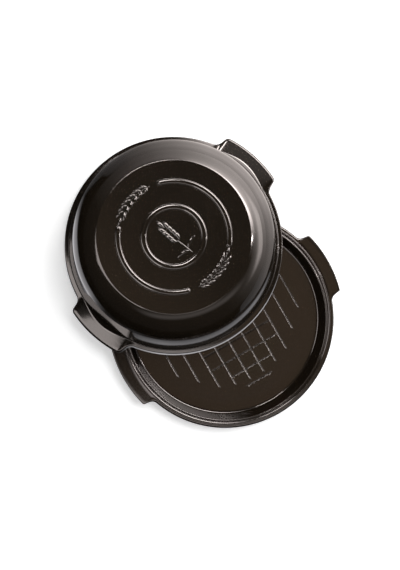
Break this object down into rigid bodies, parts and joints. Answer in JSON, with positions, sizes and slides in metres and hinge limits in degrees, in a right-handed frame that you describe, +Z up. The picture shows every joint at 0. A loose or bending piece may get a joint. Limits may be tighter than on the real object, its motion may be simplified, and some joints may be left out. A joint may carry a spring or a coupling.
{
  "type": "bread cloche",
  "caption": "Glazed ceramic bread cloche: a domed lid with wing handles, taken off its shallow round base plate and leant on the plate's rim.",
  "frame": {"origin": "centre of the base plate's flat foot", "axes": "+Z up, +X along the base plate's handles, +Y on the side where the lid lies"},
  "size_m": [0.325, 0.4036, 0.1597],
  "materials": {
    "satin_glaze": "satin charcoal-brown glaze",
    "gloss_glaze": "gloss charcoal-brown glaze"
  },
  "bodies": {
    "base": {"base_plate": "satin_glaze"},
    "lid": {"cloche_lid": "gloss_glaze"}
  },
  "joints": [
    {"name": "lid_lift", "type": "slide", "parent": "base", "child": "lid", "axis": [0, 0, 1], "range_m": [0, 0.2]}
  ]
}
